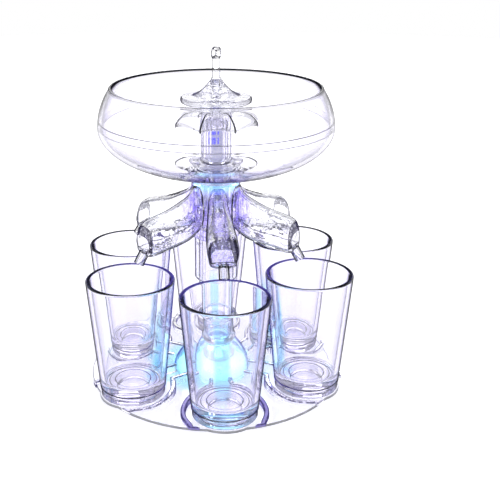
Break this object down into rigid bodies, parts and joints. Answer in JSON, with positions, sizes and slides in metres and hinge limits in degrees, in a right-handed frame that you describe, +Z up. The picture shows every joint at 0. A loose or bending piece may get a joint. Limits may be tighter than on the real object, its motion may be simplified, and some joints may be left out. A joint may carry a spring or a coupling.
{
  "type": "party shot dispenser",
  "caption": "Clear table-top drink dispenser: a bowl with a lift valve on a lit column fills shot glasses on a round fenced tray through a splitter.",
  "frame": {"origin": "middle of the tray's underside, on the table", "axes": "+Z up along the column; the front glass stands towards -Y"},
  "size_m": [0.1514, 0.167, 0.1962],
  "materials": {
    "clear_acrylic": "polished clear",
    "clear_glass_plastic": "polished clear",
    "silicone": "matte translucent",
    "white_plastic": "satin",
    "blue_lamp": "lit lens",
    "board": "solder mask",
    "steel": "satin"
  },
  "bodies": {
    "base": {"base_tray": "clear_acrylic", "lamp_bell": "clear_acrylic", "lamp_base": "white_plastic", "lamp_board": "board", "lamp_leds": "blue_lamp", "coin_cells": "steel", "cell_contacts": "steel", "cell_cover": "white_plastic", "cover_screws": "steel", "column_collar": "clear_acrylic", "column_tube": "clear_acrylic"},
    "button": {"switch_button": "white_plastic"},
    "splitter": {"splitter_hub": "clear_acrylic", "arm_hoods": "clear_acrylic", "splitter_base": "clear_acrylic", "column_sleeve": "clear_acrylic", "bowl_seal": "silicone"},
    "bowl": {"bowl_lower": "clear_acrylic", "bowl_upper": "clear_acrylic", "light_post": "clear_acrylic", "post_plug": "silicone", "post_board": "board", "post_leds": "blue_lamp", "post_cells": "steel"},
    "plunger": {"lift_tube": "clear_acrylic", "valve_seal": "silicone", "tube_collar": "clear_acrylic", "umbrella": "clear_acrylic", "trumpet_cap": "clear_acrylic", "pull_handle": "clear_acrylic"},
    "shot_glass_1": {"glass_1": "clear_glass_plastic"},
    "shot_glass_2": {"glass_2": "clear_glass_plastic"},
    "shot_glass_3": {"glass_3": "clear_glass_plastic"},
    "shot_glass_4": {"glass_4": "clear_glass_plastic"},
    "shot_glass_5": {"glass_5": "clear_glass_plastic"},
    "shot_glass_6": {"glass_6": "clear_glass_plastic"}
  },
  "joints": [
    {"name": "splitter_lift", "type": "slide", "parent": "base", "child": "splitter", "axis": [0, 0, 1], "range_m": [0, 0.04]},
    {"name": "bowl_lift", "type": "slide", "parent": "splitter", "child": "bowl", "axis": [0, 0, 1], "range_m": [0, 0.025]},
    {"name": "valve_lift", "type": "slide", "parent": "bowl", "child": "plunger", "axis": [0, 0, 1], "range_m": [0, 0.008]},
    {"name": "lamp_switch", "type": "slide", "parent": "base", "child": "button", "axis": [0, 0, 1], "range_m": [0, 0.0006], "stiffness_N_per_m": 200},
    {"name": "glass_1_out", "type": "slide", "parent": "base", "child": "shot_glass_1", "axis": [0, -0.95, 0.3123], "range_m": [0, 0.06]},
    {"name": "glass_2_out", "type": "slide", "parent": "base", "child": "shot_glass_2", "axis": [0.8227, -0.475, 0.3123], "range_m": [0, 0.06]},
    {"name": "glass_3_out", "type": "slide", "parent": "base", "child": "shot_glass_3", "axis": [0.8227, 0.475, 0.3123], "range_m": [0, 0.06]},
    {"name": "glass_4_out", "type": "slide", "parent": "base", "child": "shot_glass_4", "axis": [0, 0.95, 0.3123], "range_m": [0, 0.06]},
    {"name": "glass_5_out", "type": "slide", "parent": "base", "child": "shot_glass_5", "axis": [-0.8227, 0.475, 0.3123], "range_m": [0, 0.06]},
    {"name": "glass_6_out", "type": "slide", "parent": "base", "child": "shot_glass_6", "axis": [-0.8227, -0.475, 0.3123], "range_m": [0, 0.06]}
  ]
}
